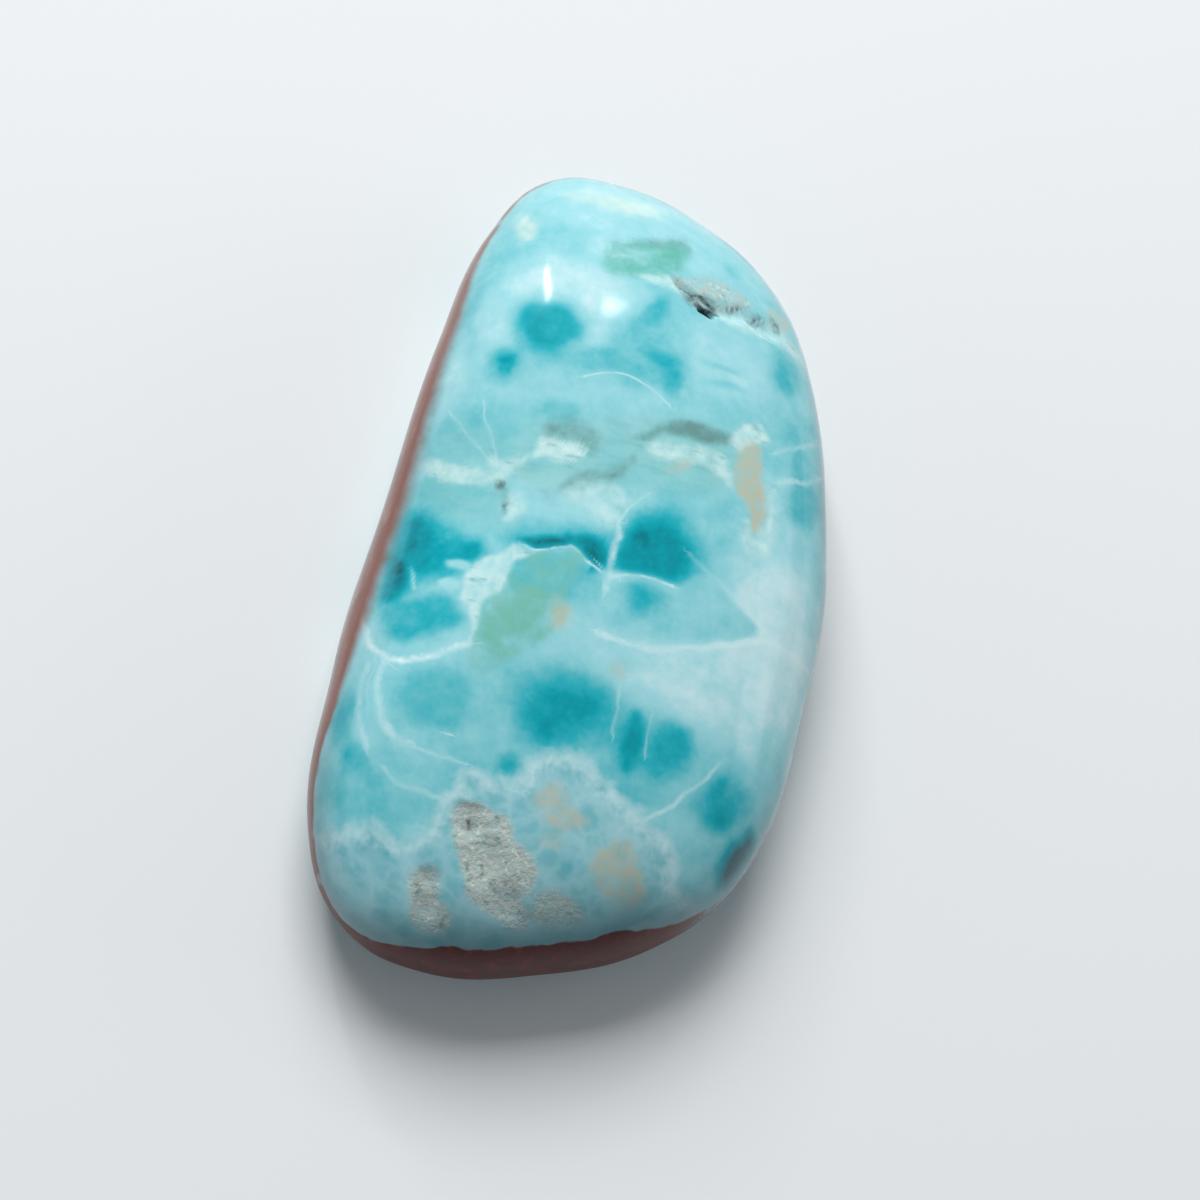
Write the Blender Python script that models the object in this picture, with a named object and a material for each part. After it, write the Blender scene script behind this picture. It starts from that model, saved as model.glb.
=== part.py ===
"""A polished larimar palm stone: one freeform pebble that lies on a small flat on its underside.

Metres, +Z up. The origin is on the surface that the stone rests on, under the middle of its outline. +Y runs
along the stone towards its narrow end, and +X towards its bulging side.
"""

import math

import bmesh
import bpy
from mathutils import Euler, Vector, noise

MM = 0.001

# Driving dimensions
GIRDLE_HEIGHT = 6.5 * MM  # height of the widest section above the resting surface
CROWN_HEIGHT = 11.6 * MM  # from the widest section up to the top of the dome
BELLY_DEPTH = 7.0 * MM  # from the widest section down to the keel, before the flat is lapped
CROWN_POWER = 2.35  # superellipse power across the dome: 2 is an ellipse, more is squarer
BELLY_POWER = 2.6
SUMMIT = Vector((-0.6 * MM, -2.5 * MM))  # plan position of the highest point

# Plan outline of the widest section in millimetres, anticlockwise from the bulging side
OUTLINE = [
    (19.6, -6.5),
    (18.1, 9.5),
    (14.4, 21.7),
    (8.0, 30.7),
    (1.0, 34.7),
    (-6.4, 35.8),
    (-12.9, 34.0),
    (-16.5, 28.1),
    (-18.3, 17.3),
    (-19.1, 0.5),
    (-19.5, -13.5),
    (-18.0, -26.7),
    (-13.2, -33.9),
    (-6.5, -35.8),
    (3.1, -33.6),
    (11.4, -29.0),
    (17.3, -21.3),
]
OUTLINE_STEPS = 24  # straight steps between two outline points

# Hand polishing leaves broad, shallow waves in the form: direction, length and phase of each
WAVE_HEIGHT = 0.1 * MM
WAVES = [
    (Vector((0.9, 0.4, 0.2)), 31 * MM, 0.5),
    (Vector((-0.3, 0.9, 0.3)), 23 * MM, 2.0),
    (Vector((0.5, -0.6, 0.6)), 17 * MM, 4.0),
]

# Quads along each side of the block that is rounded into the stone
BLOCK_CELLS = (24, 40, 14)

# Natural hollows that the polish didn't reach, in millimetres and degrees:
# plan position, length, width, depth, and turn of the length from +X
HOLLOWS = {
    "fissure_end": (0.5, 24.2, 3.4, 1.3, 0.45, -28),
    "fissure_hole": (2.7, 22.8, 1.7, 1.0, 1.5, -20),
    "fissure_bend": (3.9, 23.5, 4.6, 1.6, 0.6, -6),
    "fissure_run": (7.8, 23.6, 4.8, 1.5, 0.6, -12),
    "matrix_north": (-6.0, -25.6, 4.2, 3.0, 0.4, -40),
    "matrix_middle": (-4.3, -27.9, 4.6, 4.0, 0.45, -50),
    "matrix_south": (-1.9, -30.2, 4.0, 3.0, 0.4, -45),
    "pocket_upper": (-8.2, -30.4, 2.6, 2.0, 0.35, -60),
    "pocket_lower": (-7.5, -32.1, 2.4, 2.2, 0.35, -30),
}
HOLLOW_ROUGHNESS = 0.16  # how far a hollow's wall strays, as a share of its radius
HOLLOW_GRAIN = 0.9 * MM  # size of the bumps on that wall


def fresh_collections():
    """An empty scene, and in it a collection for the stone and one for guides and cutters."""
    for old in list(bpy.data.objects):
        bpy.data.objects.remove(old, do_unlink=True)
    stone = bpy.data.collections.new("larimar_palm_stone")
    helpers = bpy.data.collections.new("guides_and_cutters")
    for collection in (stone, helpers):
        bpy.context.scene.collection.children.link(collection)
    return stone, helpers


def add_helper(name, data, collection):
    """A guide or a cutter: kept in the file, left out of the stone."""
    helper = bpy.data.objects.new(name, data)
    helper.hide_render = True
    helper.display_type = "WIRE"
    collection.objects.link(helper)
    return helper


def mesh_from(body, name):
    mesh = bpy.data.meshes.new(name)
    body.to_mesh(mesh)
    body.free()
    return mesh


def outline_guide(collection):
    """The plan outline, as a closed Bezier curve with automatic handles."""
    curve = bpy.data.curves.new("outline", "CURVE")
    curve.dimensions = "2D"
    curve.fill_mode = "NONE"
    curve.resolution_u = OUTLINE_STEPS
    spline = curve.splines.new("BEZIER")
    spline.bezier_points.add(len(OUTLINE) - 1)
    spline.use_cyclic_u = True
    for point, (x, y) in zip(spline.bezier_points, OUTLINE):
        point.co = (x * MM, y * MM, GIRDLE_HEIGHT)
        point.handle_left_type = "AUTO"
        point.handle_right_type = "AUTO"
    return add_helper("outline", curve, collection)


def reach_table(guide):
    """Sorted pairs of angle and distance to the outline, seen from the summit."""
    bpy.context.view_layer.update()
    evaluated = guide.evaluated_get(bpy.context.evaluated_depsgraph_get())
    table = []
    for vertex in evaluated.to_mesh().vertices:
        arm = vertex.co.xy - SUMMIT
        table.append((math.atan2(arm.y, arm.x), arm.length))
    evaluated.to_mesh_clear()
    return sorted(table)


def reach_at(table, angle):
    """Distance from the summit to the outline in this direction."""
    low, high = len(table) - 1, 0
    if table[0][0] <= angle < table[-1][0]:
        low, high = 0, len(table) - 1
        while high - low > 1:
            middle = (low + high) // 2
            if table[middle][0] <= angle:
                low = middle
            else:
                high = middle
    before, after = table[low], table[high]
    share = ((angle - before[0]) % math.tau) / ((after[0] - before[0]) % math.tau)
    return before[1] + (after[1] - before[1]) * share


def polished_point(direction, table):
    """The point of the polished form in this unit direction from its heart."""
    on_crown = direction.z >= 0
    power = CROWN_POWER if on_crown else BELLY_POWER
    height = CROWN_HEIGHT if on_crown else BELLY_DEPTH
    across = direction.xy.length
    # The direction is stretched until across**power + up**power is 1
    stretch = (across**power + abs(direction.z) ** power) ** (-1 / power)
    angle = math.atan2(direction.y, direction.x)
    reach = reach_at(table, angle) * across * stretch
    point = Vector((
        SUMMIT.x + reach * math.cos(angle),
        SUMMIT.y + reach * math.sin(angle),
        GIRDLE_HEIGHT + height * direction.z * stretch,
    ))
    swell = sum(
        math.sin(point.dot(way) / length * math.tau + phase)
        for way, length, phase in WAVES
    )
    return point + direction * swell * WAVE_HEIGHT


def polished_pebble(table, collection):
    """A block cut into quads, each corner moved out to the polished form."""
    body = bmesh.new()
    bmesh.ops.create_cube(body, size=2)
    for axis, cells in enumerate(BLOCK_CELLS):
        along = [
            edge for edge in body.edges
            if abs(edge.verts[0].co[axis] - edge.verts[1].co[axis]) > 1
        ]
        bmesh.ops.subdivide_edges(body, edges=along, cuts=cells - 1, use_grid_fill=True)
    for vertex in body.verts:
        vertex.co = polished_point(vertex.co.normalized(), table)
    stone = bpy.data.objects.new("stone", mesh_from(body, "stone"))
    collection.objects.link(stone)
    return stone


def base_cutter(collection):
    """A block whose top is the resting surface."""
    body = bmesh.new()
    bmesh.ops.create_cube(body, size=1)
    width, depth = 80 * MM, 10 * MM
    bmesh.ops.scale(body, vec=(width, width, depth), verts=body.verts)
    bmesh.ops.translate(body, vec=(0, 0, -depth / 2), verts=body.verts)
    return add_helper("cut_base", mesh_from(body, "cut_base"), collection)


def hollow_cutter(name, stone, collection):
    """A rough ellipsoid sunk into the crown, so that the cut has the stated length, width and depth."""
    x, y, length, width, depth, turn = HOLLOWS[name]
    above = Vector((x * MM, y * MM, 2 * (GIRDLE_HEIGHT + CROWN_HEIGHT)))
    _, spot, normal, _ = stone.ray_cast(above, Vector((0, 0, -1)))
    # The ellipsoid's centre is two depths above the surface and its lowest point one below it
    radii = Vector((length, width, 0)) * MM / 2 / math.sqrt(1 - (2 / 3) ** 2)
    radii.z = 3 * depth * MM
    body = bmesh.new()
    bmesh.ops.create_icosphere(body, subdivisions=3, radius=1)
    for vertex in body.verts:
        grain = noise.noise(vertex.co * radii / HOLLOW_GRAIN + spot / HOLLOW_GRAIN)
        vertex.co *= 1 + grain * HOLLOW_ROUGHNESS
    bmesh.ops.scale(body, vec=radii, verts=body.verts)
    bmesh.ops.rotate(body, matrix=Euler((0, 0, math.radians(turn))).to_matrix(), verts=body.verts)
    cutter = add_helper("cut_" + name, mesh_from(body, name), collection)
    cutter.rotation_mode = "QUATERNION"
    cutter.rotation_quaternion = Vector((0, 0, 1)).rotation_difference(normal)
    cutter.location = spot + normal * 2 * depth * MM
    return cutter


def cut(stone, cutter):
    modifier = stone.modifiers.new(cutter.name, "BOOLEAN")
    modifier.operation = "DIFFERENCE"
    modifier.solver = "EXACT"
    modifier.object = cutter


def larimar():
    """Milky blue-green pectolite under a hand polish."""
    material = bpy.data.materials.new("larimar")
    material.use_nodes = True
    surface = material.node_tree.nodes["Principled BSDF"]
    surface.inputs["Base Color"].default_value = (0.27, 0.66, 0.70, 1)
    surface.inputs["Metallic"].default_value = 0
    surface.inputs["Roughness"].default_value = 0.18
    return material


def main():
    stones, helpers = fresh_collections()
    table = reach_table(outline_guide(helpers))
    stone = polished_pebble(table, stones)
    stone.data.materials.append(larimar())
    stone.data.shade_smooth()
    stone.data.set_sharp_from_angle(angle=math.radians(35))
    cutters = [base_cutter(helpers)]
    cutters += [hollow_cutter(name, stone, helpers) for name in HOLLOWS]
    for cutter in cutters:
        cut(stone, cutter)


main()
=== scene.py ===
# A polished larimar palm stone on a pale floor: the fine stone, its markings and a soft studio.
import math

import bmesh
import bpy
import numpy as np
from mathutils import Matrix, Vector, noise


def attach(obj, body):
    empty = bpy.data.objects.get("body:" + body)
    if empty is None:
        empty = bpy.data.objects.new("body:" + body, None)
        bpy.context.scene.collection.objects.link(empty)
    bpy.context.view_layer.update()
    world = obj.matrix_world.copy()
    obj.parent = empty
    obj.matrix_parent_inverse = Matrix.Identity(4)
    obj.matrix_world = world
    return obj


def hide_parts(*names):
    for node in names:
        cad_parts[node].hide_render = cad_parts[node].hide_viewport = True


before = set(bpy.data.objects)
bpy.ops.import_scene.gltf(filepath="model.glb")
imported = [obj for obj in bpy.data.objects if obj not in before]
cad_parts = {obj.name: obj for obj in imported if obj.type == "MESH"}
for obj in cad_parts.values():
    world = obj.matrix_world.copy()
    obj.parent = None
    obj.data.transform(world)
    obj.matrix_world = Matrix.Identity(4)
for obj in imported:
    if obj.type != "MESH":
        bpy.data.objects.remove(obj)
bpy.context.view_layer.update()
mm = 0.001


def shade(red, green, blue):
    # a colour as a screen shows it, 0 to 255, turned into the linear values that shaders take
    linear = []
    for level in (red, green, blue):
        level /= 255
        linear.append(level / 12.92 if level <= 0.04045 else ((level + 0.055) / 1.055) ** 2.4)
    return (*linear, 1)


class Value:
    # an output socket; a sum or product of values adds its own Math nodes
    def __init__(self, graph, socket):
        self.graph = graph
        self.socket = socket

    def __add__(self, other):
        return self.graph.maths("ADD", self, other)

    def __sub__(self, other):
        return self.graph.maths("SUBTRACT", self, other)

    def __rsub__(self, other):
        return self.graph.maths("SUBTRACT", other, self)

    def __mul__(self, other):
        return self.graph.maths("MULTIPLY", self, other)

    def __truediv__(self, other):
        return self.graph.maths("DIVIDE", self, other)

    def __rtruediv__(self, other):
        return self.graph.maths("DIVIDE", other, self)

    def __pow__(self, other):
        return self.graph.maths("POWER", self, other)

    __radd__ = __add__
    __rmul__ = __mul__


class Graph:
    # adds nodes to a shader tree or a geometry tree
    def __init__(self, tree):
        self.tree = tree

    def node(self, kind, settings=None, inputs=None, output=0):
        made = self.tree.nodes.new(kind)
        for name, setting in (settings or {}).items():
            if name == "stops":
                self.setStops(made.color_ramp, setting)
            else:
                setattr(made, name, setting)
        for name, value in (inputs or {}).items():
            if isinstance(value, Value):
                self.tree.links.new(value.socket, made.inputs[name])
            else:
                made.inputs[name].default_value = value
        return Value(self, made.outputs[output])

    def setStops(self, ramp, stops):
        while len(ramp.elements) < len(stops):
            ramp.elements.new(0.5)
        for element, (place, colour) in zip(ramp.elements, stops):
            element.position = place
            element.color = colour

    def maths(self, operation, *values):
        return self.node("ShaderNodeMath", {"operation": operation}, dict(enumerate(values)))

    def vectors(self, operation, *values, output="Vector"):
        return self.node("ShaderNodeVectorMath", {"operation": operation}, dict(enumerate(values)), output)

    def scaled(self, vector, factor):
        return self.node("ShaderNodeVectorMath", {"operation": "SCALE"}, {0: vector, "Scale": factor})

    def fade(self, value, start, end):
        # 0 at start and 1 at end, with a soft step between, whichever of them is the larger
        inputs = {"Value": value, "From Min": start, "From Max": end}
        return self.node("ShaderNodeMapRange", {"interpolation_type": "SMOOTHSTEP"}, inputs)

    def blend(self, share, under, over):
        # colour under, with this share of colour over laid on it
        return self.node("ShaderNodeMix", {"data_type": "RGBA"}, {0: share, 6: under, 7: over}, 2)


# The camera stands where the photograph was taken from: lengths in millimetres, angles in degrees
cameraSetup = {
    "aim": Vector((0.6, -1.4, 6.5)),
    "turn": 13.0,  # the stone's length leans this far to the right of the picture's upright
    "leanDown": 18.0,  # away from overhead, towards the picture's lower edge
    "leanLeft": 10.0,
    "pixelsPerMm": 11.85,
    "pictureWidth": 1200,
    "lens": 85.0,
    "sensor": 36.0,
}


def pictureAxes(setup):
    # the picture's right and up, and the way back to the camera, in the stone's frame
    turn = math.radians(setup["turn"])
    up = Vector((-math.sin(turn), math.cos(turn), 0))
    right = Vector((math.cos(turn), math.sin(turn), 0))
    back = Vector((0, 0, 1))
    back -= up * math.tan(math.radians(setup["leanDown"]))
    back -= right * math.tan(math.radians(setup["leanLeft"]))
    back.normalize()
    right = up.cross(back).normalized()
    return right, back.cross(right), back


def cameraPlace(setup):
    away = setup["pictureWidth"] * setup["lens"] / (setup["sensor"] * setup["pixelsPerMm"])
    return (setup["aim"] + pictureAxes(setup)[2] * away) * mm


def makeCamera(setup):
    data = bpy.data.cameras.new("photoCamera")
    data.lens = setup["lens"]
    data.sensor_width = setup["sensor"]
    data.clip_start = 0.01
    camera = bpy.data.objects.new("photoCamera", data)
    turned = Matrix(pictureAxes(setup)).transposed().to_4x4()
    camera.matrix_world = Matrix.Translation(cameraPlace(setup)) @ turned
    bpy.context.scene.collection.objects.link(camera)
    bpy.context.scene.camera = camera


makeCamera(cameraSetup)
print("camera set")


# The polished form, in millimetres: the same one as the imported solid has
stoneForm = {
    "girdleHeight": 6.5,  # height of the widest section above the floor
    "crownHeight": 11.6,
    "bellyDepth": 7.0,
    "crownPower": 2.35,  # superellipse power: 2 is an ellipse, more is squarer
    "bellyPower": 2.6,
    "summit": (-0.6, -2.5),
    "flatEdge": 0.3,  # softness of the edge round the resting flat
    "waveHeight": 0.1,
    "waves": [  # direction, length and phase of each swell that polishing left
        ((0.9, 0.4, 0.2), 31, 0.5),
        ((-0.3, 0.9, 0.3), 23, 2.0),
        ((0.5, -0.6, 0.6), 17, 4.0),
    ],
    "outline": [  # plan of the widest section, anticlockwise from the bulging side
        (19.6, -6.5), (18.1, 9.5), (14.4, 21.7), (8.0, 30.7), (1.0, 34.7), (-6.4, 35.8), (-12.9, 34.0),
        (-16.5, 28.1), (-18.3, 17.3), (-19.1, 0.5), (-19.5, -13.5), (-18.0, -26.7), (-13.2, -33.9),
        (-6.5, -35.8), (3.1, -33.6), (11.4, -29.0), (17.3, -21.3),
    ],
    "outlineSteps": 24,
    "cells": (72, 128, 34),  # quads along the block; the crown's are halved once more
}


def outlineCurve(form):
    curve = bpy.data.curves.new("outline", "CURVE")
    curve.dimensions = "2D"
    curve.fill_mode = "NONE"
    curve.resolution_u = form["outlineSteps"]
    spline = curve.splines.new("BEZIER")
    spline.bezier_points.add(len(form["outline"]) - 1)
    spline.use_cyclic_u = True
    for point, (x, y) in zip(spline.bezier_points, form["outline"]):
        point.co = (x * mm, y * mm, 0)
        point.handle_left_type = "AUTO"
        point.handle_right_type = "AUTO"
    guide = bpy.data.objects.new("outline", curve)
    bpy.context.scene.collection.objects.link(guide)
    return guide


def unitBlock(cells):
    # a cube cut into quads, twice as fine above its waist, where the markings are
    body = bmesh.new()
    bmesh.ops.create_cube(body, size=2)
    for axis, count in enumerate(cells):
        along = [
            edge for edge in body.edges
            if abs(edge.verts[0].co[axis] - edge.verts[1].co[axis]) > 1
        ]
        bmesh.ops.subdivide_edges(body, edges=along, cuts=count - 1, use_grid_fill=True)
    upper = [edge for edge in body.edges if min(corner.co.z for corner in edge.verts) > -0.01]
    bmesh.ops.subdivide_edges(body, edges=upper, cuts=1, use_grid_fill=True)
    mesh = bpy.data.meshes.new("polishedStone")
    body.to_mesh(mesh)
    body.free()
    return mesh


def geometryTree(name, sizes):
    # a geometry tree with one named number input for each size
    tree = bpy.data.node_groups.new(name, "GeometryNodeTree")
    tree.interface.new_socket("Geometry", in_out="INPUT", socket_type="NodeSocketGeometry")
    for label in sizes:
        tree.interface.new_socket(label, in_out="INPUT", socket_type="NodeSocketFloat")
    tree.interface.new_socket("Geometry", in_out="OUTPUT", socket_type="NodeSocketGeometry")
    entry = tree.nodes.new("NodeGroupInput")
    graph = Graph(tree)
    return graph, {socket.name: Value(graph, socket) for socket in entry.outputs if socket.name}


def closeTree(graph, geometry, material):
    finished = graph.node("GeometryNodeRealizeInstances", None, {"Geometry": geometry})
    finished = graph.node("GeometryNodeSetMaterial", None, {"Geometry": finished, "Material": material})
    leave = graph.tree.nodes.new("NodeGroupOutput")
    graph.tree.links.new(finished.socket, leave.inputs[0])


def grown(piece, tree, sizes):
    # the piece's mesh after the tree has shaped it, with these sizes in its named inputs
    modifier = piece.modifiers.new(tree.name, "NODES")
    modifier.node_group = tree
    for socket in tree.interface.items_tree:
        if socket.in_out == "INPUT" and socket.name in sizes:
            modifier[socket.identifier] = float(sizes[socket.name])
    graph = bpy.context.evaluated_depsgraph_get()
    mesh = bpy.data.meshes.new_from_object(piece.evaluated_get(graph), depsgraph=graph)
    piece.modifiers.remove(modifier)
    piece.data = mesh
    return piece


def polishedTree(form, guide, material):
    sizes = {
        "Girdle Height": form["girdleHeight"] * mm,
        "Crown Height": form["crownHeight"] * mm,
        "Belly Depth": form["bellyDepth"] * mm,
        "Crown Power": form["crownPower"],
        "Belly Power": form["bellyPower"],
        "Wave Height": form["waveHeight"] * mm,
        "Flat Edge": form["flatEdge"] * mm,
    }
    graph, given = geometryTree("polishedForm", sizes)

    # each corner of the block stands for a direction from the stone's heart
    place = graph.node("GeometryNodeInputPosition")
    way = graph.vectors("NORMALIZE", place)
    x, y, z = (graph.node("ShaderNodeSeparateXYZ", None, {0: way}, axis) for axis in "XYZ")
    across = graph.maths("SQRT", x * x + y * y)
    onCrown = graph.maths("GREATER_THAN", z, -1e-6)
    power = given["Belly Power"] + onCrown * (given["Crown Power"] - given["Belly Power"])
    height = given["Belly Depth"] + onCrown * (given["Crown Height"] - given["Belly Depth"])
    stretch = (across**power + graph.maths("ABSOLUTE", z) ** power) ** (-1 / power)

    # how far the outline lies that way: a ray from the summit to a wall that stands on the outline
    wallHeight = 0.02
    line = graph.node("GeometryNodeObjectInfo", None, {"Object": guide}, "Geometry")
    line = graph.node("GeometryNodeCurveToMesh", None, {"Curve": line})
    upright = graph.node("ShaderNodeCombineXYZ", None, {"Z": wallHeight})
    wall = graph.node("GeometryNodeExtrudeMesh", {"mode": "EDGES"}, {"Mesh": line, "Offset": upright})
    summit = graph.node("ShaderNodeCombineXYZ", None, {
        "X": form["summit"][0] * mm,
        "Y": form["summit"][1] * mm,
        "Z": wallHeight / 2,
    })
    level = graph.node("ShaderNodeCombineXYZ", None, {"X": x, "Y": y})
    hit = graph.node(
        "GeometryNodeRaycast", {"data_type": "FLOAT"},
        {"Target Geometry": wall, "Source Position": summit, "Ray Direction": level, "Ray Length": 1.0},
        "Hit Distance",
    )
    arm = hit * across * stretch / graph.maths("MAXIMUM", across, 1e-9)
    rounded = graph.node("ShaderNodeCombineXYZ", None, {
        "X": x * arm + form["summit"][0] * mm,
        "Y": y * arm + form["summit"][1] * mm,
        "Z": z * height * stretch + given["Girdle Height"],
    })

    swell = 0
    for wave, length, phase in form["waves"]:
        travel = graph.vectors("DOT_PRODUCT", rounded, wave, output="Value")
        swell = graph.maths("SINE", travel * (math.tau / (length * mm)) + phase) + swell
    polished = graph.vectors("ADD", rounded, graph.scaled(way, swell * given["Wave Height"]))

    # the lapped flat, with a softened edge
    x, y, z = (graph.node("ShaderNodeSeparateXYZ", None, {0: polished}, axis) for axis in "XYZ")
    flat = graph.maths("SMOOTH_MAX", z, 0, given["Flat Edge"])
    settled = graph.node("ShaderNodeCombineXYZ", None, {"X": x, "Y": y, "Z": flat})
    stone = graph.node("GeometryNodeSetPosition", None, {"Geometry": given["Geometry"], "Position": settled})
    stone = graph.node("GeometryNodeSetShadeSmooth", None, {"Geometry": stone})
    closeTree(graph, stone, material)
    return graph.tree, sizes


larimar = bpy.data.materials.new("polishedLarimar")
larimar.use_nodes = True

outline = outlineCurve(stoneForm)
stone = bpy.data.objects.new("polishedStone", unitBlock(stoneForm["cells"]))
bpy.context.scene.collection.objects.link(stone)
grown(stone, *polishedTree(stoneForm, outline, larimar))
bpy.data.objects.remove(outline)
print("stone formed:", len(stone.data.vertices), "corners")


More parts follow.
